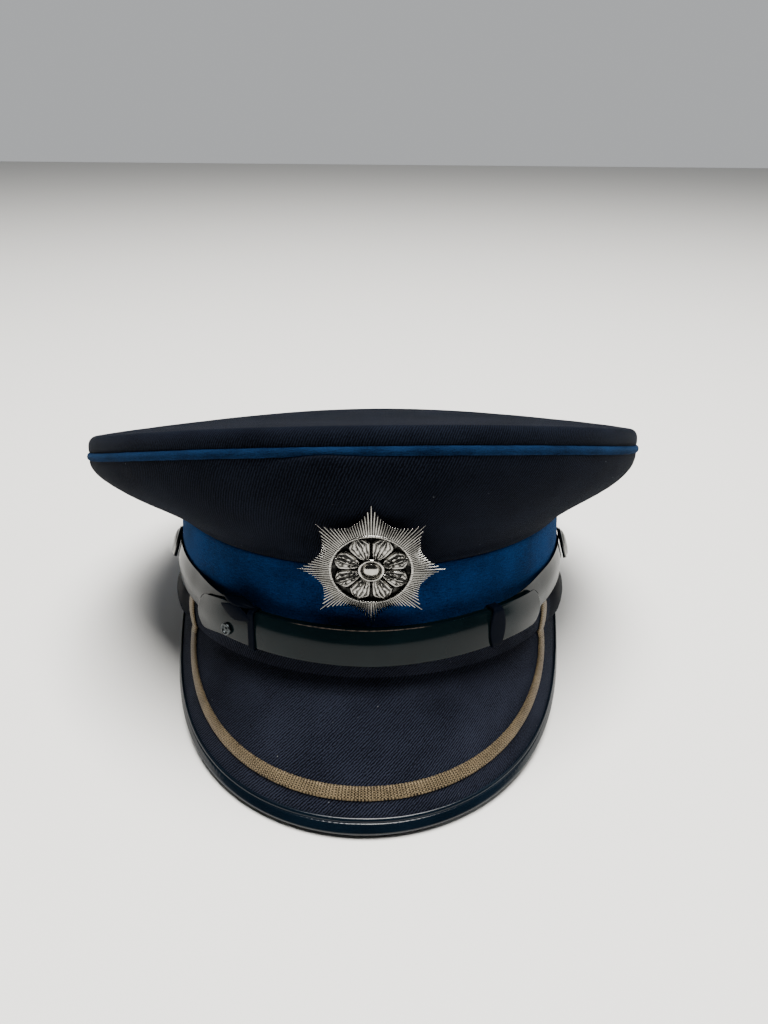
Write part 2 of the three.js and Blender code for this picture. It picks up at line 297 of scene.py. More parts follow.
def woollenTwill(name, look, angle):
    material, tree, shader = newMaterial(name, Roughness=0.9, Sheen_Weight=look["sheen"], Sheen_Roughness=0.4,
                                         Sheen_Tint=(0.7, 0.82, 1, 1), Specular_IOR_Level=0.03)
    cloth = addNode(tree, "ShaderNodeUVMap", uv_map="clothMap").outputs[0]
    rib = ribs(tree, turned(tree, cloth, angle), look["pitch"], 2.6, 3)
    yarn = ribs(tree, turned(tree, cloth, angle + 1.2), look["pitch"] * 0.55, 1.6, 2)
    fuzz = grain(tree, cloth, 1.25, 4, 0.8)
    cloud = grain(tree, cloth, 0.035, 3)
    weave = addUp(tree, (rib, 0.52), (yarn, 0.2), (fuzz, 1.5))
    tone = addUp(tree, (weave, 1.0), (cloud, 0.6))
    colour = blendColours(tree, ramp(tree, tone, 1.25, 1.66), look["dark"], look["light"])
    fleck = addNode(tree, "ShaderNodeTexVoronoi", {"Vector": cloth, "Scale": 0.5})
    rare = addNode(tree, "ShaderNodeSeparateColor", {0: fleck.outputs["Color"]}).outputs[0]
    lint = calc(tree, "MULTIPLY", ramp(tree, fleck.outputs["Distance"], 0.13, 0.07), ramp(tree, rare, 0.965, 0.985))
    lint = calc(tree, "MULTIPLY", lint, look["lint"])
    paint(tree, shader, "Base Color", blendColours(tree, lint, colour, look["dust"]))
    raised(tree, shader, weave, 0.6, 0.00025)
    return material


def fulledFelt(name, look):
    material, tree, shader = newMaterial(name, Roughness=0.95, Sheen_Weight=look["sheen"], Sheen_Roughness=0.5,
                                         Sheen_Tint=(0.2, 0.5, 1, 1), Specular_IOR_Level=0.02)
    cloth = addNode(tree, "ShaderNodeUVMap", uv_map="clothMap").outputs[0]
    nap = grain(tree, cloth, 1.5, 7, 0.75)
    fibre = grain(tree, turned(tree, cloth, 0.4, (0.35, 1.6, 1)), 1.1, 4, 0.7)
    cloud = grain(tree, cloth, 0.06, 3)
    height = addUp(tree, (nap, 0.9), (fibre, 0.6))
    tone = addUp(tree, (height, 1.0), (cloud, 0.5))
    paint(tree, shader, "Base Color", blendColours(tree, ramp(tree, tone, 0.80, 1.25), look["dark"], look["light"]))
    raised(tree, shader, height, 0.7, 0.0003)
    return material


def glossLeather(name, look):
    material, tree, shader = newMaterial(name, Coat_Weight=look["coat"], Coat_Roughness=0.07)
    facing = addNode(tree, "ShaderNodeLayerWeight", {"Blend": 0.5}).outputs["Facing"]
    paint(tree, shader, "Specular IOR Level", ramp(tree, facing, 0.35, 0.85, look["specular"], 0.2 * look["specular"]))
    place = addNode(tree, "ShaderNodeTexCoord").outputs["Object"]
    broad = grain(tree, place, 45, 2)
    fine = grain(tree, place, 900, 3)
    base = look["colour"]
    colour = blendColours(tree, ramp(tree, broad, 0.35, 0.7), base, tuple(1.6 * c for c in base))
    # a pale brown line is coloured where the corner mask is set
    if look.get("brownLine"):
        brownLine = addNode(tree, "ShaderNodeAttribute", attribute_name="brownLineMask").outputs["Fac"]
        brownLine = calc(tree, "MULTIPLY", brownLine, ramp(tree, grain(tree, place, 700, 3), 0.3, 0.6), clamp=True)
        colour = blendColours(tree, brownLine, colour, look["brownLine"])
    paint(tree, shader, "Base Color", colour)
    paint(tree, shader, "Roughness", addUp(tree, (fine, 0.1), (broad, 0.06), (1.0, look["rough"] - 0.08)))
    raised(tree, shader, addUp(tree, (broad, 1.0), (fine, 0.02)), look["wave"], 0.0012)
    return material


def wovenBraid(name, look):
    material, tree, shader = newMaterial(name, Metallic=0.75, Roughness=0.42, Specular_IOR_Level=0.4)
    cloth = addNode(tree, "ShaderNodeUVMap", uv_map="clothMap").outputs[0]
    left = ribs(tree, turned(tree, cloth, 0.75), look["pitch"], 0.5)
    right = ribs(tree, turned(tree, cloth, -0.75), look["pitch"], 0.5)
    cross = ribs(tree, cloth, look["pitch"] * 1.2, 0.4)
    fuzz = grain(tree, cloth, 1.4, 4, 0.8)
    cloud = grain(tree, cloth, 0.12, 3)
    knit = calc(tree, "MAXIMUM", calc(tree, "MULTIPLY", left, right), calc(tree, "MULTIPLY", cross, 0.5))
    height = addUp(tree, (knit, 0.85), (fuzz, 0.8))
    tone = addUp(tree, (height, 1.0), (cloud, 0.5))
    paint(tree, shader, "Base Color", blendColours(tree, ramp(tree, tone, 0.75, 1.2), look["dark"], look["light"]))
    raised(tree, shader, height, 0.9, 0.00035)
    return material


def polishedMetal(name, look):
    material, tree, shader = newMaterial(name, Metallic=1.0)
    place = addNode(tree, "ShaderNodeTexCoord").outputs["Object"]
    tarnish = grain(tree, place, 260, 4, 0.6)
    tone = look["colour"]
    colour = blendColours(tree, ramp(tree, tarnish, 0.42, 0.75), tone, tuple(0.6 * c for c in tone))
    rough = addUp(tree, (tarnish, 0.14), (1.0, look["rough"] - 0.07))
    if look.get("patina"):
        groove = addNode(tree, "ShaderNodeAttribute", attribute_name="groove").outputs["Fac"]
        groove = calc(tree, "MULTIPLY", groove, ramp(tree, tarnish, 0.2, 0.6, 0.7, 1.1), clamp=True)
        colour = blendColours(tree, groove, colour, look["patina"])
        rough = addUp(tree, (rough, 1.0), (groove, 0.35))
    paint(tree, shader, "Base Color", colour)
    paint(tree, shader, "Roughness", rough)
    raised(tree, shader, grain(tree, place, 1500, 3), 0.1, 0.0002)
    return material


crownLook = {"dark": (0.0003, 0.0006, 0.0018), "light": (0.0068, 0.0092, 0.0165), "dust": (0.12, 0.13, 0.14),
             "pitch": 0.86, "sheen": 0.015, "lint": 0.7}
peakLook = {"dark": (0.0004, 0.0007, 0.0018), "light": (0.0198, 0.0228, 0.0365), "dust": (0.20, 0.21, 0.23),
            "pitch": 0.92, "sheen": 0.02, "lint": 0.8}
bandLook = {"dark": (0.0001, 0.0032, 0.019), "light": (0.0030, 0.0340, 0.138), "sheen": 0.12}
cordLook = {"dark": (0.0001, 0.0012, 0.006), "light": (0.0060, 0.0240, 0.070), "sheen": 0.04}
trimLook = {"colour": (0.0012, 0.0020, 0.0044), "rough": 0.40, "specular": 0.012, "coat": 0.0, "wave": 0.25}
# strap: its last colour is a pale brown line along its upper front corner
strapLook = {"colour": (0.0014, 0.0040, 0.0050), "rough": 0.12, "specular": 0.125, "coat": 0.0, "wave": 0.16,
             "brownLine": (0.11, 0.085, 0.070)}
bindingLook = {"colour": (0.0010, 0.0032, 0.0064), "rough": 0.21, "specular": 0.22, "coat": 0.08, "wave": 0.3}
liningLook = {"colour": (0.012, 0.012, 0.012), "rough": 0.42, "specular": 0.3, "coat": 0.1, "wave": 0.15}
braidLook = {"dark": (0.012, 0.008, 0.0035), "light": (0.225, 0.170, 0.098), "pitch": 0.60}
badgeLook = {"colour": (0.40, 0.39, 0.365), "rough": 0.13, "patina": (0.006, 0.006, 0.006)}
buttonLook = {"colour": (0.15, 0.15, 0.145), "rough": 0.30}
snapLook = {"colour": (0.055, 0.062, 0.066), "rough": 0.30}

crownCloth = woollenTwill("crownCloth", crownLook, 0.38)
peakCloth = woollenTwill("peakCloth", peakLook, 0.80)
bandFelt = fulledFelt("bandFelt", bandLook)
pipingFelt = fulledFelt("pipingFelt", cordLook)
trimGloss = glossLeather("trimGloss", trimLook)
strapGloss = glossLeather("strapGloss", strapLook)
bindingGloss = glossLeather("bindingGloss", bindingLook)
peakLining = glossLeather("peakLining", liningLook)
braidThread = wovenBraid("braidThread", braidLook)
badgeSilver = polishedMetal("badgeSilver", badgeLook)
buttonSilver = polishedMetal("buttonSilver", buttonLook)
snapSteel = polishedMetal("snapSteel", snapLook)
print("materials made")

# Crown tip: a flat top with its upright edge turned up all round
tip = {"steps": 300, "reach": 125.0, "swell": 0.9, "ripple": 0.13}
tipUnder = [(radius, 6.5) for radius in (0.05, 30, 62, 92, 112)]
tipEdge = [(118.6, 6.5), (119.2, 6.0), (119.4, 3.0), (119.4, 0), (119.6, -1.3), (120.2, -1.6), (120.8, -1.3),
           (121.1, 0), (121.3, 1.6), (121.8, 2.2), (122.7, 1.75), (123.7, 1.6), (124.25, 1.75), (124.55, 2.3),
           (124.6, 3.4), (124.55, 4.6), (124.35, 5.7), (123.95, 6.7), (123.35, 7.55), (122.55, 8.15), (121.6, 8.48),
           (120.4, 8.62), (118.8, 8.64), (116.4, 8.58)]   # a lip hangs down inside the cord and closes the seam
tipTop = [(radius, 8.5) for radius in (112, 105, 95, 83, 70, 56, 42, 28, 14, 0.05)]


def layTip(phi, r, z):
    fraction = r / tip["reach"]
    x, y = sin(phi), cos(phi)
    ripple = tip["ripple"] * uneven(7 * x, 7 * y, z * 0.25) * ease(z, 2.5, 5) * ease(fraction, 0.9, 0.97)
    swell = tip["swell"] * uneven(2.2 * fraction * x, 2.2 * fraction * y, 3.1) * (1 - ease(fraction, 0.8, 0.97))
    return crownPoint(phi, fraction, 0, z + swell + 0.6 * ripple) + Vector((x, -y, 0)) * ripple


crownTip = drawRing("crownTip", tipUnder + tipEdge + tipTop, tip["steps"])
mapBlank(crownTip, lambda turn, r, z: (turn * tip["reach"], z - r),
         flat=lambda co: co.z > 8.3 and hypot(co.x, co.y) < 118.6)
layOn(crownTip, layTip)
finishOn(crownTip, ["crown_top"], [crownCloth], 60)

cord = {"radius": 1.8, "inset": 1.3, "steps": 420, "sides": 16, "lumps": 0.09, "lumpsRound": 42}


def layCord(phi, r, z):
    lump = 1 + cord["lumps"] * uneven(cord["lumpsRound"] * sin(phi), cord["lumpsRound"] * cos(phi), z * 0.5)
    return crownPoint(phi, 1, cord["inset"] - (r - ringRadius) * lump, z * lump)


clearSelection()
bpy.ops.mesh.primitive_torus_add(major_segments=cord["steps"], minor_segments=cord["sides"], generate_uvs=False,
                                 major_radius=ringRadius * mm, minor_radius=cord["radius"] * mm)
crownPiping = newBlank("crownPiping")
mapBlank(crownPiping, lambda turn, r, z: (turn * tip["reach"], 1.5 * z - r))
layOn(crownPiping, layCord)
finishOn(crownPiping, ["crown_piping"], [pipingFelt], 80)

# Side panels: one full shell from the band up and out to the cord
panel = {"steps": 300, "wall": 2.4, "lowOut": 0.497, "lowUp": 0.306, "highOut": 1.018, "highUp": 0.511,
         "frontOut": -0.256, "headIn": 0.4, "headUp": 0.15, "height": 62, "mapRadius": 108, "fullness": 0.7,
         "pucker": 0.16, "puckersRound": 24, "overhang": 0.7}
puffs = [(-0.09, 0.10, 2.2), (0.07, 0.10, 1.0), (0.26, 0.06, 0.6)]   # (turn, width, size) of cloth humped over the cord
panelOut = [0, 0.02, 0.05, 0.09, 0.14, 0.2, 0.27, 0.34, 0.42, 0.5, 0.58, 0.66, 0.73, 0.8, 0.86, 0.91, 0.94, 0.965,
            0.985, 1]
panelIn = [1, 0.9, 0.75, 0.6, 0.45, 0.3, 0.15, 0]


def bandTop(phi):
    return band["top"] - band["sway"] * cos(2 * phi)


def curveBetween(foot, low, high, head, t):
    point = (1 - t) ** 3 * foot + 3 * t * (1 - t) ** 2 * low + 3 * t * t * (1 - t) * high + t ** 3 * head
    slope = (1 - t) ** 2 * (low - foot) + 2 * t * (1 - t) * (high - low) + t * t * (head - high)
    return point, slope.normalized()


def layPanel(phi, r, z):
    along, depth = z / panel["height"], ringRadius - r
    foot = ovalPoint(phi, -band["lean"], bandTop(phi) + gap)
    head = crownPoint(phi, 1, panel["headIn"], panel["headUp"] - cord["radius"])   # sewn tight to the cord

    def drawn(out, up):
        return Vector((mix(foot.x, head.x, out), mix(foot.y, head.y, out), mix(foot.z, head.z, up)))

    low = drawn(panel["lowOut"] + panel["frontOut"] * max(0, cos(phi)), panel["lowUp"])
    point, slope = curveBetween(foot, low, drawn(panel["highOut"], panel["highUp"]), head, along)
    inward = slope.cross(Vector((cos(phi), sin(phi), 0))).normalized()
    inward = inward.lerp(-ovalNormal(phi), ease(along, 0.6, 1)).normalized()
    outside = 1 - ease(depth, 0, panel["wall"])
    full = panel["fullness"] * uneven(3.2 * sin(phi), 3.2 * cos(phi), along * 1.6) * sin(pi * min(1, along * 1.1))
    gathered = uneven(panel["puckersRound"] * sin(phi), panel["puckersRound"] * cos(phi), along * 3)
    full += panel["pucker"] * gathered * ease(along, 0.35, 0.9)
    full *= ease(along, 0, 0.15) * (1 - ease(along, 0.9, 0.98)) * outside
    point += inward * (depth - full)
    puff = sum(size * hump(phi - at, width) for at, width, size in puffs) * ease(along, 0.6, 0.97)
    tuck = ease(along, 0.975, 1)   # drawn in again at the seam
    out = panel["overhang"] * hump(along - 0.03, 0.04) + 0.8 * puff * (1 - tuck)
    return point + (ovalNormal(phi) * out + Vector((0, 0, puff * (1 - 0.6 * tuck)))) * outside


sidePanels = [(ringRadius, along * panel["height"]) for along in panelOut]
sidePanels += [(ringRadius - panel["wall"], along * panel["height"]) for along in panelIn] + [sidePanels[0]]
crownQuarters = drawRing("crownQuarters", sidePanels, panel["steps"])
mapBlank(crownQuarters, lambda turn, r, z: (turn * panel["mapRadius"], z - r))
layOn(crownQuarters, layPanel)
finishOn(crownQuarters, ["crown_quarters"], [crownCloth], 55)
print("crown made")

# Felt band, and the glossy rolled edge at its foot; sections are (out, up) from the band's own line
bandSection = [(-0.35, 12.3), (-0.05, 12.6), (0.05, 14), (0.1, 20), (0.0, 30), (-0.4, 38), (-0.7, 42), (-0.8, 43.6),
               (-1.1, 44.1), (-3.5, 44.1), (-3.8, 43.6), (-3.0, 12.6), (-2.7, 12.3), (-0.35, 12.3)]
edgeFace = [(1.2, 0), (1.9, 0.4), (2.3, 1.6), (2.55, 3.2), (2.65, 5.2), (2.5, 7.4), (2.0, 9.4), (1.2, 11.1),
            (0.5, 11.9)]
edgeSection = edgeFace + [(-0.4, 12), (-2.6, 12), (-3.0, 11.5), (-3.0, 0.5), (-2.5, 0), (1.2, 0)]
bandShape = {"steps": 240, "ripple": 0.18, "sideRoll": 0.7, "frontFlat": 0.15, "sideFlat": 0.42, "coverEnd": 1.07,
             "unroll": 0.45}
# the strap's own measures stand here, because its buttons press it into the felt
strap = {"half": 7.0, "thick": 1.8, "level": 14.8, "climb": 9.8, "button": 1.405, "stand": 3.4, "close": 0.6,
         "letOutFrom": 0.6, "letOutTo": 0.95, "end": 1.5, "tabLeft": -0.835, "tabRight": 0.84, "tabRound": 6.6,
         "soft": 0.38, "crowned": 1.0, "bowFrom": 0.35, "bowTo": 0.75, "cut": 2.2, "brownLineFrom": -0.31, "brownLineTo": 0.23,
         "droopFrom": 0.6, "droopTo": 0.84, "droopLeft": 4.0, "droopRight": 1.8}
pressed = {"deep": 1.1, "above": 4, "near": 3, "far": 12, "rest": 0.35, "lean": 0.28, "rim": 7, "fades": 10}


def dentAt(phi, z):  # the side buttons' upper rims press into strap and band
    along = (abs(phi) - strap["button"]) * band["arm"]
    up = z - strap["level"] - strap["climb"] - pressed["above"]
    return pressed["deep"] * (1 - ease(hypot(along, up), pressed["near"], pressed["far"]))


def layBand(phi, r, z):
    out = r - ringRadius + bandShape["ripple"] * uneven(9 * sin(phi), 9 * cos(phi), z * 0.08) - dentAt(phi, z)
    return ovalPoint(phi, out, z - band["sway"] * cos(2 * phi) * ease(z, 26, 43.6))


def unrolled(phi, along):  # the peak's cloth is cut flat, as a cone is unrolled
    reach = band["along"] / bandShape["unroll"] + along
    return reach * sin(bandShape["unroll"] * phi), -reach * cos(bandShape["unroll"] * phi)


def rollShare(phi):  # fuller at the sides, pressed flat where the peak's cloth is carried up over it
    full = 1 + bandShape["sideRoll"] * sin(phi) ** 4
    flat = mix(bandShape["frontFlat"], bandShape["sideFlat"], ease(abs(phi), 0.5, 1.05))
    return mix(flat, full, ease(abs(phi), bandShape["coverEnd"] - 0.03, bandShape["coverEnd"] + 0.09))


def edgeOut(phi, up):  # how far the roll stands out at this height
    for (before, low), (after, high) in zip(edgeFace, edgeFace[1:]):
        if low <= up <= high:
            return rollShare(phi) * mix(before, after, (up - low) / (high - low))
    return 0.5 * rollShare(phi)


def layEdge(phi, r, z):
    out = r - ringRadius
    return ovalPoint(phi, out * rollShare(phi) if out > 0 else out, z)


capBand = drawRing("capBand", [(ringRadius + out, up) for out, up in bandSection], bandShape["steps"])
mapBlank(capBand, lambda turn, r, z: (turn * band["arm"], z - r))
layOn(capBand, layBand)
finishOn(capBand, ["cap_band"], [bandFelt], 50)
bandEdge = drawRing("bandEdge", [(ringRadius + out, up) for out, up in edgeSection], bandShape["steps"])
clearSelection()
for face in bandEdge.data.polygons:   # its outer face in front is covered with the peak's cloth
    spot = face.center / mm
    if abs(atan2(spot.x, -spot.y)) < bandShape["coverEnd"] and hypot(spot.x, spot.y) > ringRadius - 0.5:
        face.material_index = 1
mapBlank(bandEdge, lambda turn, r, z: unrolled(turn, -z))
layOn(bandEdge, layEdge)
finishOn(bandEdge, ["band_edge"], [trimGloss, peakCloth], 50)
print("band made")

# Peak: cloth board, bound edge and braid
peak = {"length": 54.57, "power": 0.97, "spread": 1.3932, "slopeCentre": 0.9785, "slopeEnd": 1.474, "board": 2.4,
        "camber": 1.1, "cut": 0.972, "turn": -0.018}


def peakLength(phi):
    return peak["length"] * cos(min(1, abs(phi) / peak["spread"]) * pi / 2) ** peak["power"]


def peakPoint(phi, along, above):
    turn = phi + peak["turn"]
    if along < 0:   # up the band's foot
        return ovalPoint(turn, edgeOut(turn, -gap - along) + above, -gap - along)
    part = min(1, abs(phi) / peak["spread"])
    slope = mix(peak["slopeCentre"], peak["slopeEnd"], part * part)
    share = min(1, max(0, along / max(peakLength(phi), 0.01)))
    up = above + peak["camber"] * sin(pi * share) * (1 - part * part)
    point = ovalPoint(turn, 0, -gap - along * sin(slope) + up * cos(slope))
    return point + ovalNormal(turn) * (along * cos(slope) + up * sin(slope))


def peakTurn(way):  # way runs from -1 at one corner of the peak to 1 at the other
    return peak["spread"] * peak["cut"] * sin(pi / 2 * way)


board = {"half": 100, "deep": 50, "across": 220, "rows": 14, "tuck": 1.4, "wave": 0.12, "seam": 0.4}


def mapBoard(x, y, z):
    return unrolled(peakTurn(x / board["half"]), (y / board["deep"] + 0.5) * peak["length"] - z)


def layBoard(x, y, z):
    phi = peakTurn(x / board["half"])
    share = y / board["deep"] + 0.5
    foot = z * (1 - share) / tan(peak["slopeCentre"])
    wave = board["wave"] * uneven(x * 0.09, y * 0.09) * (1 if z == 0 else 0)
    along = max(0, share * (peakLength(phi) - board["tuck"]) - foot)
    seam = board["seam"] * (1 - share) ** 12   # drawn up against the band's foot
    return peakPoint(phi, along, z + wave) + Vector((0, 0, seam))


clearSelection()
bpy.ops.mesh.primitive_grid_add(x_subdivisions=board["across"], y_subdivisions=board["rows"], size=1, calc_uvs=False)
peakBoard = newBlank("peakBoard")
bpy.ops.transform.resize(value=(2 * board["half"] * mm, board["deep"] * mm, 1))
bpy.ops.mesh.extrude_region_move(TRANSFORM_OT_translate={"value": (0, 0, -peak["board"] * mm)})
bpy.ops.mesh.select_all(action="SELECT")
bpy.ops.mesh.normals_make_consistent(inside=False)
clearSelection()
for face in peakBoard.data.polygons:   # lined underneath
    face.material_index = 1 if face.normal.z < -0.5 else 0
mapBlank(peakBoard, mapBoard, ring=False)
layOn(peakBoard, layBoard, ring=False)
finishOn(peakBoard, ["peak_board"], [peakCloth, peakLining], 40)

edging = {"show": 6.0, "showEnd": 3.4, "half": 100, "drawn": 10, "cuts": (30, 19), "low": -1.0, "high": 1.0,
          "nose": 0.95, "pulled": 0.32, "crease": 0.20, "creasePitch": 0.017, "creased": 0.55, "creaseAt": 0.68,
          "groove": 0.34, "grooveAt": 0.74}


def edgingSection():
    # (share of the shown width, height above the board), round the board's front and back underneath
    low, high = edging["low"] - peak["board"], edging["high"]
    outline = [(1.0, 0.3), (1.02, 0.62), (0.985, 0.92), (0.93, 1.02), (0.86, 1.05)]
    outline += [(share, 1.06) for share in (0.81, 0.77, 0.73, 0.69, 0.65, 0.6)]
    outline += [(0.5, 1.05), (0.4, 1.03), (0.3, 1.01)]
    for i in range(11):
        angle = pi / 2 - pi * i / 10
        outline.append((-max(0, cos(angle)), (low + high) / 2 + (high - low) / 2 * sin(angle)))
    return outline + [(0.4, low), (0.7, low), (0.8, low + 0.2), (0.8, low + 0.7), (0.3, low + 0.7), (0.3, 0.3)]


def layEdging(x, y, z):
    phi, share, above = peakTurn(x / edging["half"]), y / edging["drawn"], z
    part = abs(phi) / peak["spread"]
    show = min(mix(edging["show"], edging["showEnd"], part), 0.8 * peakLength(phi))
    nose = min(edging["nose"], 0.4 * show)
    reach = nose * (1 + min(0, share)) + max(0, share - 0.2) / 0.8 * (show - nose)
    if above > 0.9:   # small creases where the leather is gathered round the front
        gather = hump(phi, edging["creased"])
        pucker = sin(2 * pi * phi / edging["creasePitch"] + 1.3 * sin(9 * phi) + 0.9 * sin(31 * phi))
        above += edging["crease"] * gather * hump(share - edging["creaseAt"], 0.2) * pucker
        deep = edging["groove"] * (0.12 + 0.88 * gather) * (0.8 + 0.2 * pucker)
        above -= deep * hump(share - edging["grooveAt"], 0.055)
    return peakPoint(phi, peakLength(phi) - reach - edging["pulled"], above)


bindingSection = [(edging["drawn"] * share, z) for share, z in edgingSection()]
peakBinding = drawStrip("peakBinding", bindingSection, 2 * edging["half"], edging["cuts"])
layOn(peakBinding, layEdging, ring=False)
finishOn(peakBinding, ["peak_binding"], [bindingGloss], 50)

braid = {"outer": 42.6, "outerSpread": 1.01, "inner": 38.1, "innerSpread": 0.955, "power": 0.69, "cut": 0.985,
         "run": 110, "half": 125.5, "wide": 4.6, "cuts": (30, 23), "loops": 0.3, "loopPitch": 1.1, "drift": 0.002,
         "blend": 5}
braidSection = [(0.0, 0.35), (-0.03, 0.6), (0.02, 0.9), (0.12, 1.12), (0.3, 1.22), (0.5, 1.25), (0.7, 1.22),
                (0.88, 1.12), (0.98, 0.9), (1.03, 0.6), (1.0, 0.35), (0.75, 0.3), (0.5, 0.3), (0.25, 0.3)]


def layBraid(x, y, z):
    share = braid["cut"] * sin(pi / 2 * max(-1, min(1, x / braid["run"])))
    rise = max(0, abs(x) - braid["run"])   # its ends go up the band's foot behind the strap
    across = y / braid["wide"]
    phi = share * mix(braid["innerSpread"], braid["outerSpread"], across)
    reach = mix(braid["inner"], braid["outer"], across)
    if across < 0.1:   # small loops along the inner edge
        reach -= braid["loops"] * abs(sin(pi * x / braid["loopPitch"]))
    along = cos(share * pi / 2) ** braid["power"] * reach - rise
    lift = edgeOut(phi, 0) * (1 - ease(along, 0, braid["blend"])) if along > 0 else 0
    drift = braid["drift"] * rise * (1 if phi > 0 else -1)
    return peakPoint(phi + drift, along, z + lift)


peakBraid = drawStrip("peakBraid", [(braid["wide"] * across, z) for across, z in braidSection], 2 * braid["half"],
                      braid["cuts"])
mapBlank(peakBraid, lambda x, y, z: (x, y + z), ring=False)
layOn(peakBraid, layBraid, ring=False)
finishOn(peakBraid, ["peak_braid"], [braidThread], 60)
print("peak made")


# Chin strap in two layers with its keepers and snap
def strapPoint(phi, out, up):
    away = abs(phi)
    stand = mix(strap["stand"], strap["close"], ease(away, strap["letOutFrom"], strap["letOutTo"]))
    level = strap["level"] + strap["climb"] * (away / strap["button"]) ** 1.5
    return ovalPoint(phi, stand + out, level + up)


def makeStrap(name, first, last, layer, nodes):
    length, middle = (last - first) * band["arm"], (first + last) / 2
    half, thick, outer = strap["half"], strap["thick"], strap["thick"] / 2
    clearSelection()
    bpy.ops.mesh.primitive_cube_add(size=1, calc_uvs=False)
    piece = newBlank(name)
    bpy.ops.transform.resize(value=(length * mm, thick * mm, 2 * half * mm))
    pickEdges(piece, lambda a, b: abs(a.y - b.y) > 0.5 * thick)
    bpy.ops.mesh.bevel(offset=strap["tabRound"] * mm, segments=10, affect="EDGES")
    pickEdges(piece, lambda a, b: a.y > outer - 0.01 and b.y > outer - 0.01)
    bpy.ops.mesh.bevel(offset=strap["soft"] * mm, segments=3, affect="EDGES")
    cutAcross(steps(-length / 2, length / 2, round(length / strap["cut"])), (1, 0, 0))
    cutAcross((-6.3, -5, -3, -1, 1, 3, 5, 6.3), (0, 0, 1))
    clearSelection()
    brownLine = piece.data.attributes.new("brownLineMask", "FLOAT", "POINT")   # a pale brown line is coloured along the upper front corner
    for corner, value in zip(piece.data.vertices, brownLine.data):
        co = corner.co / mm
        phi = middle + co.x / band["arm"]
        lineShare = ease(phi, strap["brownLineFrom"], strap["brownLineFrom"] + 0.06)
        lineShare *= 1 - ease(phi, strap["brownLineTo"] - 0.02, strap["brownLineTo"])
        value.value = lineShare * layer if co.z > half - 0.34 and co.y > outer - 0.3 else 0

    def place(x, y, z):
        phi = middle + x / band["arm"]
        away = ease(abs(phi), strap["bowFrom"], strap["bowTo"])   # its upper edge bows back, most near the tabs
        bow = (1 + 0.8 * away) * ease(z, 0.5 - 3 * away, half + 1)
        out = y + outer + layer * (thick + gap) + 0.06 * uneven(phi * 5, layer, z * 0.1)
        out += strap["crowned"] * (0.25 * (1 - (z / half) ** 2) - bow) * ease(y, 0, outer)
        droop = layer * strap["droopLeft" if phi < 0 else "droopRight"]
        if layer == 0:   # under each button its face is pressed down flat
            reach = hypot((abs(phi) - strap["button"]) * band["arm"], z)
            dent = dentAt(phi, z + strap["level"] + strap["climb"])
            flat = max(0, pressed["rest"] + pressed["lean"] * z - dent) * ease(y, -outer, outer)
            out -= dent + flat * (1 - ease(reach, pressed["rim"], pressed["fades"]))
        return strapPoint(phi, out, z - droop * ease(abs(phi), strap["droopFrom"], strap["droopTo"]))

    layOn(piece, place, ring=False)
    finishOn(piece, nodes, [strapGloss], 38)


makeStrap("strapUnder", -strap["end"], strap["end"], 0, ["strap_under"])
makeStrap("strapOver", strap["tabLeft"], strap["tabRight"], 1, ["strap_over"])

keeper = {"skin": 0.8, "left": -0.47, "leftWidth": 2.6, "right": 0.53, "rightWidth": 7.0, "soft": 0.9, "clear": 0.3,
          "leftWaist": 0.1, "rightWaist": 0.5, "rim": 0.25}


def makeKeeper(name, at, width, waist):
    # a loop of leather: an open box with rounded corners, given its thickness outward
    deep = 2 * strap["thick"] + gap + 2 * keeper["clear"]
    tall = 2 * (strap["half"] + keeper["clear"])
    clearSelection()
    bpy.ops.mesh.primitive_cube_add(size=1, calc_uvs=False)
    piece = newBlank(name)
    bpy.ops.transform.resize(value=(width * mm, deep * mm, tall * mm))
    bpy.ops.mesh.select_mode(type="FACE")
    bpy.ops.mesh.select_all(action="DESELECT")
    mesh = bmesh.from_edit_mesh(piece.data)
    for face in mesh.faces:
        face.select_set(abs(face.normal.x) > 0.9)
    bmesh.update_edit_mesh(piece.data)
    bpy.ops.mesh.delete(type="ONLY_FACE")
    pickEdges(piece, lambda a, b: abs(a.x - b.x) > 0.5 * width)
    bpy.ops.mesh.bevel(offset=keeper["soft"] * mm, segments=4, affect="EDGES")
    cutAcross(steps(-0.5 * width, 0.5 * width, 4), (1, 0, 0))
    cutAcross(steps(-0.4 * tall, 0.4 * tall, 8), (0, 0, 1))
    clearSelection()
    takeUp(piece)
    wall = piece.modifiers.new("leather", "SOLIDIFY")
    wall.thickness, wall.offset = keeper["skin"] * mm, 1
    bpy.ops.object.modifier_apply(modifier=wall.name)
    rim = piece.modifiers.new("softRim", "BEVEL")
    rim.width, rim.segments, rim.limit_method = keeper["rim"] * mm, 3, "ANGLE"
    bpy.ops.object.modifier_apply(modifier=rim.name)

    def place(x, y, z):
        narrow = 1 - waist * (z / (strap["half"] + 1)) ** 2
        return strapPoint(at + x * narrow / (band["across"] + 5), y + strap["thick"] + gap / 2, z)

    layOn(piece, place, ring=False)
    return piece


keeperRight = makeKeeper("keeperRight", keeper["right"], keeper["rightWidth"], keeper["rightWaist"])
finishOn(keeperRight, ["keeper_right"], [trimGloss], 50)
keeperLeft = makeKeeper("keeperLeft", keeper["left"], keeper["leftWidth"], keeper["leftWaist"])

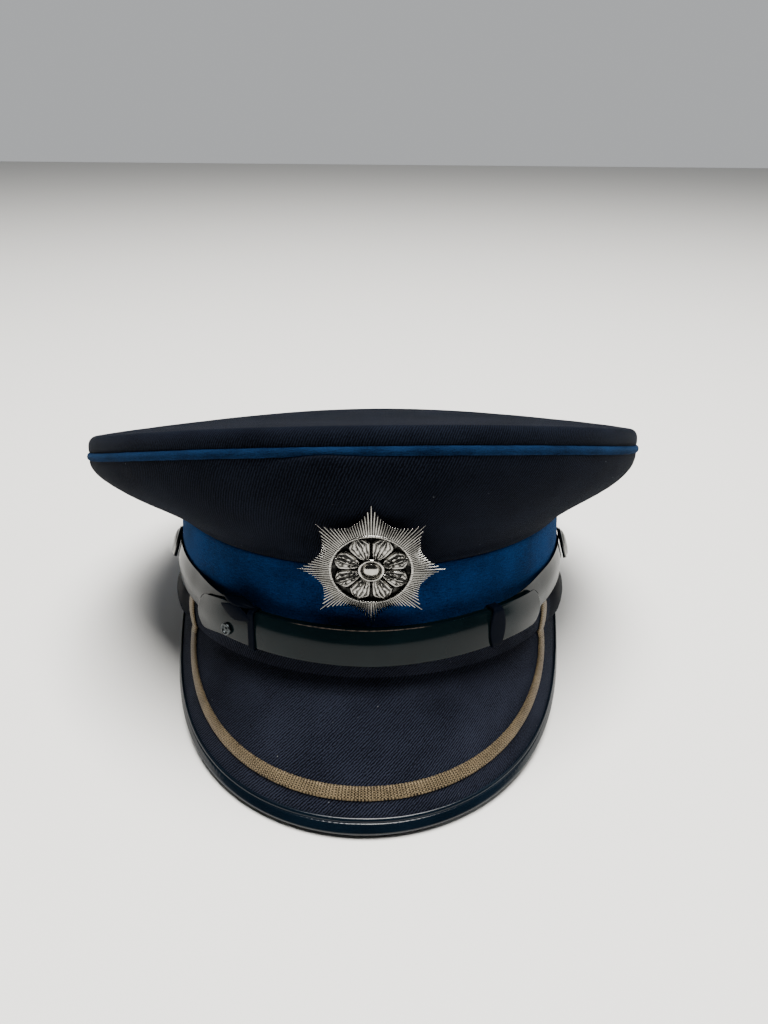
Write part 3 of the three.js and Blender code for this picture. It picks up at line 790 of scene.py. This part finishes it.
# its spare leather lies folded over the strap's upper edge: (out, up, half length, half depth, half height, droop)
foldSizes = [(2.6, 9.05, 8, 3, 1.7, 0.5), (4.95, 5.6, 7.2, 0.65, 3.2, 1.2)]
foldsBack = -0.072   # turn from the keeper to the middle of its folds
folds = []
for out, up, wide, deep, tall, droop in foldSizes:
    clearSelection()
    bpy.ops.mesh.primitive_uv_sphere_add(segments=40, ring_count=20, radius=mm, calc_uvs=False)
    fold = newBlank("fold")
    clearSelection()

    def placeFold(x, y, z):
        thin = 1 - 0.55 * abs(x) ** 1.6
        rise = up + z * tall * thin - droop * x * abs(x)
        phi = keeper["left"] + foldsBack + x * wide / (band["across"] + 8)
        return strapPoint(phi, out + y * deep * thin, rise)

    layOn(fold, placeFold, ring=False)
    folds.append(fold)
takeUp(keeperLeft)
for fold in folds:
    fold.select_set(True)
bpy.ops.object.join()
finishOn(keeperLeft, ["keeper_left"], [trimGloss], 60)


def setOutward(piece, phi, out, up, lean=0.0):
    clearSelection()
    aim = ovalNormal(phi) * cos(lean) + Vector((0, 0, sin(lean)))
    facing = aim.to_track_quat("Z", "Y").to_matrix().to_4x4()
    stood = Matrix.Rotation(-stance["tilt"], 4, "X")
    piece.data.transform(Matrix.Translation(toFloor(strapPoint(phi, out, up))) @ stood @ facing)
    editAll(piece)
    bpy.ops.mesh.normals_make_consistent(inside=False)
    clearSelection()


stud = {"at": -0.597, "up": -3.2, "clear": 0.15}
studProfile = [(0.05, 0), (2.3, 0), (2.5, 0.15), (2.52, 0.5), (2.4, 0.85), (2.15, 1.1), (1.85, 1.1), (1.6, 0.9),
               (1.45, 0.5), (1.2, 0.42), (0.85, 0.45), (0.7, 0.75), (0.5, 0.88), (0.05, 0.9)]
strapStud = drawRing("strapStud", studProfile, 40)
setOutward(strapStud, stud["at"], 2 * strap["thick"] + 2 * gap + stud["clear"], stud["up"])
finishOn(strapStud, ["strap_stud"], [snapSteel], 50)

sideButton = {"radius": 7.2, "height": 2.4, "washer": 7.4, "washerThick": 0.8, "sunk": 0.3, "flutes": 36, "flute": 0.1}
domeShare = [(0.9, 0), (0.99, 0.06), (1.0, 0.16), (0.985, 0.28), (0.94, 0.35), (0.88, 0.37), (0.84, 0.45), (0.78, 0.57),
             (0.68, 0.71), (0.55, 0.83), (0.4, 0.92), (0.22, 0.98), (0.06, 1.0)]
washerFoot = strap["thick"] - sideButton["sunk"]
for word, side in (("left", -1), ("right", 1)):
    r, h = sideButton["washer"], sideButton["washerThick"]
    discProfile = [(0.05, 0), (r - 0.25, 0), (r, 0.2), (r, h - 0.2), (r - 0.25, h), (0.05, h)]
    washer = drawRing("washer" + word.title(), discProfile, 48)
    setOutward(washer, side * strap["button"], washerFoot, 0, pressed["lean"])
    finishOn(washer, ["washer_" + word], [trimGloss], 50)
    r, h = sideButton["radius"], sideButton["height"]
    button = drawRing("button" + word.title(), [(0.05, 0)] + [(a * r, b * h) for a, b in domeShare] + [(0.05, h)], 72)
    clearSelection()
    for corner in button.data.vertices:   # fine flutes round the dome's shoulder
        reach = hypot(corner.co.x, corner.co.y) / mm / r
        if 0.5 < reach < 0.9 and corner.co.z > 0.3 * h * mm:
            turn = sideButton["flutes"] * atan2(corner.co.y, corner.co.x)
            corner.co.z += sideButton["flute"] * mm * cos(turn) * sin(pi * (reach - 0.5) / 0.4)
    setOutward(button, side * strap["button"], washerFoot + sideButton["washerThick"], 0, pressed["lean"])
    finishOn(button, ["button_" + word], [buttonSilver], 45)
print("strap made")

# Rayed star with a rosette in its pierced centre, made lying flat and then stood on the crown's front
star = {"radius": 25.5, "hole": 13.6, "x": 1.1, "y": -100, "z": 88.6, "lean": 0.09, "tips": 8, "rays": 128,
        "plate": 0.9, "dome": 0.8, "thin": 0.23, "thick": 0.52, "soft": 0.34}
rayPitch = 2 * pi / star["rays"]


def starReach(angle):
    pitch = 2 * pi / star["tips"]
    near = 1 - abs(angle - pitch * round(angle / pitch)) / (pitch / 2)
    return star["radius"] * (0.72 + 0.14 * near ** 1.5 + 0.14 * near ** 5)


def spunRound(piece, count):
    # copies round the z axis; the last one is the first again, so it is left out
    editAll(piece)
    bpy.ops.mesh.spin(steps=count - 1, dupli=True, angle=2 * pi * (count - 1) / count, center=(0, 0, 0), axis=(0, 0, 1))
    bpy.ops.mesh.select_all(action="SELECT")
    bpy.ops.mesh.normals_make_consistent(inside=False)
    clearSelection()


clearSelection()
rayLong = star["radius"] - star["hole"]
bpy.ops.mesh.primitive_cone_add(vertices=12, radius1=star["thin"] * mm, radius2=star["thick"] * mm, depth=rayLong * mm,
                                calc_uvs=False)
rays = newBlank("badgeStar")
bpy.ops.transform.rotate(value=pi / 2, orient_axis="X", center_override=(0, 0, 0))
bpy.ops.transform.translate(value=(0, -(star["hole"] + rayLong / 2) * mm, star["plate"] * mm))
pickEdges(rays, lambda a, b: a.y < -star["radius"] + 0.01 and b.y < -star["radius"] + 0.01)
bpy.ops.mesh.bevel(offset=star["soft"] * mm, segments=3, affect="EDGES")
spunRound(rays, star["rays"])
groove = rays.data.attributes.new("groove", "FLOAT", "POINT")
for corner, value in zip(rays.data.vertices, groove.data):
    x, y = corner.co.x / mm, corner.co.y / mm
    angle, reach = atan2(x, -y), hypot(x, y)
    own = rayPitch * round(angle / rayPitch)
    share = (reach - star["hole"]) / rayLong
    scale = mix(star["hole"], starReach(own), share) / reach
    point = ease(share, 0.72, 1.0) * hump((starReach(own) - star["radius"]) / 2, 1)   # the eight longest end in a point
    turn = own + (angle - own) * (1 - 0.7 * point)
    corner.co.x, corner.co.y = sin(turn) * reach * scale * mm, -cos(turn) * reach * scale * mm
    corner.co.z += star["dome"] * max(0, 1 - share) ** 1.2 * mm
    value.value = ease(abs(angle - own) / rayPitch, 0.14, 0.32)

petal = {"inner": 3.6, "outer": 13.9, "wide": 0.405, "thick": 1.5, "flute": 0.22, "base": 0.9, "flutes": 5}
clearSelection()
bpy.ops.mesh.primitive_uv_sphere_add(segments=64, ring_count=20, radius=mm, calc_uvs=False)
petals = newBlank("petals")
clearSelection()
petalGroove = petals.data.attributes.new("groove", "FLOAT", "POINT")
for corner, value in zip(petals.data.vertices, petalGroove.data):
    x, y, z = corner.co / mm
    share = (y + 1) / 2
    reach = mix(petal["inner"], petal["outer"], share)
    wide = petal["wide"] * reach * (1 - ease(share, 0.62, 1.06)) * (0.6 + 0.4 * ease(share, 0, 0.3))
    side = x / max(0.05, sqrt(max(0.0, 1 - y * y)))
    flute = cos(petal["flutes"] * pi * side)
    tall = petal["thick"] * (1 + petal["flute"] * flute * (1 if z > 0 else 0))
    corner.co = Vector((side * wide * min(1, 2.2 * sqrt(max(0.0, 1 - y * y))), reach, petal["base"] + z * tall)) * mm
    value.value = max(ease(-flute, -0.3, 0.7), 1 - ease(z, 0.15, 0.6)) if z > 0 else 1
spunRound(petals, star["tips"])
editAll(petals)
bpy.ops.transform.rotate(value=pi / star["tips"], orient_axis="Z", center_override=(0, 0, 0))

bossProfile = [(0.05, 0.3), (4.6, 0.3), (4.6, 1.9), (4.4, 2.4), (4.1, 2.55), (3.75, 2.4), (3.55, 1.9), (3.3, 1.5),
               (3.0, 1.6), (2.7, 2.2), (2.2, 2.8), (1.5, 3.15), (0.8, 3.3), (0.05, 3.35)]
boss = drawRing("boss", bossProfile, 48)
clearSelection()
bossGroove = boss.data.attributes.new("groove", "FLOAT", "POINT")
for corner, value in zip(boss.data.vertices, bossGroove.data):
    reach = hypot(corner.co.x, corner.co.y) / mm
    value.value = hump(reach - 3.3, 0.35) if corner.co.z > mm else 0
editAll(boss)
bpy.ops.mesh.normals_make_consistent(inside=False)

plateSection = [(4.0, 0), (17.6, 0), (17.8, 0.2), (17.8, 0.7), (14.4, 1.1), (14.0, 0.5), (4.0, 0.4), (4.0, 0)]
plate = drawRing("plate", plateSection, 96)
bpy.ops.mesh.normals_make_consistent(inside=False)
clearSelection()
plateGroove = plate.data.attributes.new("groove", "FLOAT", "POINT")
for value in plateGroove.data:
    value.value = 1
beads = {"count": 96, "radius": 0.5, "out": 0.35, "up": 1.95, "deep": 0.35}
bpy.ops.mesh.primitive_torus_add(major_segments=4 * beads["count"], minor_segments=8, generate_uvs=False,
                                 major_radius=(star["hole"] + beads["out"]) * mm, minor_radius=beads["radius"] * mm)
ring = newBlank("ring")
clearSelection()
ringGroove = ring.data.attributes.new("groove", "FLOAT", "POINT")
for corner, value in zip(ring.data.vertices, ringGroove.data):   # the collar round the opening is beaded
    x, y, z = corner.co / mm
    bead = abs(cos(beads["count"] / 2 * atan2(x, -y)))
    slim = 1 - beads["deep"] * (1 - bead)
    reach = star["hole"] + beads["out"]
    grow = (reach + (hypot(x, y) - reach) * slim) / hypot(x, y)
    corner.co = Vector((x * grow, y * grow, z * slim + beads["up"])) * mm
    value.value = 1 - ease(bead, 0.1, 0.6)
takeUp(rays)
for item in (petals, boss, plate, ring):
    item.select_set(True)
bpy.ops.object.join()
clearSelection()
starPlace = Vector((star["x"] + stance["centreX"], star["y"] + stance["centreY"], star["z"])) * mm
rays.data.transform(Matrix.Translation(starPlace) @ Matrix.Rotation(pi / 2 + star["lean"], 4, "X"))
finishOn(rays, ["badge_star"], [badgeSilver], 50)
print("badge made")

# Floor, lights and camera
room = {"floor": 7, "floorColour": (0.82, 0.81, 0.78, 1), "wall": (0.93, 0.95, 0.97, 1), "behindCamera": 0.03,
        "farSide": 0.5}
clearSelection()
bpy.ops.mesh.primitive_plane_add(size=room["floor"], location=(0, 0, 0))
floor = bpy.context.object
floor.name = "floor"
floorPaint, tree, shader = newMaterial("floorPaint", Roughness=0.55, Specular_IOR_Level=0.25)
shader.inputs["Base Color"].default_value = room["floorColour"]
floor.data.materials.append(floorPaint)

world = bpy.data.worlds.new("softRoom")
bpy.context.scene.world = world
world.use_nodes = True
tree = world.node_tree   # pale walls at the far side and the sides, a dim room in front
tree.nodes["Background"].inputs[0].default_value = room["wall"]
direction = addNode(tree, "ShaderNodeTexCoord").outputs["Generated"]
away = addNode(tree, "ShaderNodeSeparateXYZ", {0: direction}).outputs[1]
glow = ramp(tree, away, -0.25, 0.75, room["behindCamera"], room["farSide"])
tree.links.new(glow, tree.nodes["Background"].inputs[1])


def softLight(name, place, aim, size, power, tone=(1, 1, 1)):
    clearSelection()
    bpy.ops.object.light_add(type="AREA", location=place)
    lamp = bpy.context.object
    lamp.name = name
    lamp.data.shape = "RECTANGLE"
    lamp.data.size, lamp.data.size_y = size
    lamp.data.energy = power
    lamp.data.color = tone
    lamp.rotation_euler = (Vector(aim) - Vector(place)).to_track_quat("-Z", "Y").to_euler()


softLight("ceiling", (0.11, -0.12, 1.8), (0, 0.02, 0.05), (0.95, 1.0), 111, (1, 0.985, 0.96))
softLight("window", (1.7, -0.1, 1.0), (0, 0, 0.08), (0.9, 0.9), 3.5, (0.96, 0.98, 1))

eye = {"height": 226.93, "back": 323.12, "pitch": radians(27.70), "shift": -6.278, "roll": radians(-0.55),
       "yaw": radians(0.58), "focal": 769, "rows": 1024, "film": 36}   # focal length in pixels, film in mm
swing = Matrix.Rotation(-eye["yaw"], 3, "Z")
right = swing @ Vector((1, 0, 0))
ahead = swing @ Vector((0, cos(eye["pitch"]), -sin(eye["pitch"])))
top = right.cross(ahead)
across = cos(eye["roll"]) * right - sin(eye["roll"]) * top
upward = sin(eye["roll"]) * right + cos(eye["roll"]) * top
place = swing @ Vector((-eye["shift"], -eye["back"], eye["height"]))
bpy.ops.object.camera_add()
camera = bpy.context.object
camera.data.lens = eye["focal"] / eye["rows"] * eye["film"]
camera.data.sensor_width = eye["film"]
camera.data.clip_start = 0.01
pose = Matrix((across, upward, -ahead)).transposed().to_4x4()
pose.translation = (place + Vector((stance["centreX"], stance["centreY"], 0))) * mm
camera.matrix_world = pose
bpy.context.scene.camera = camera
print("room made")
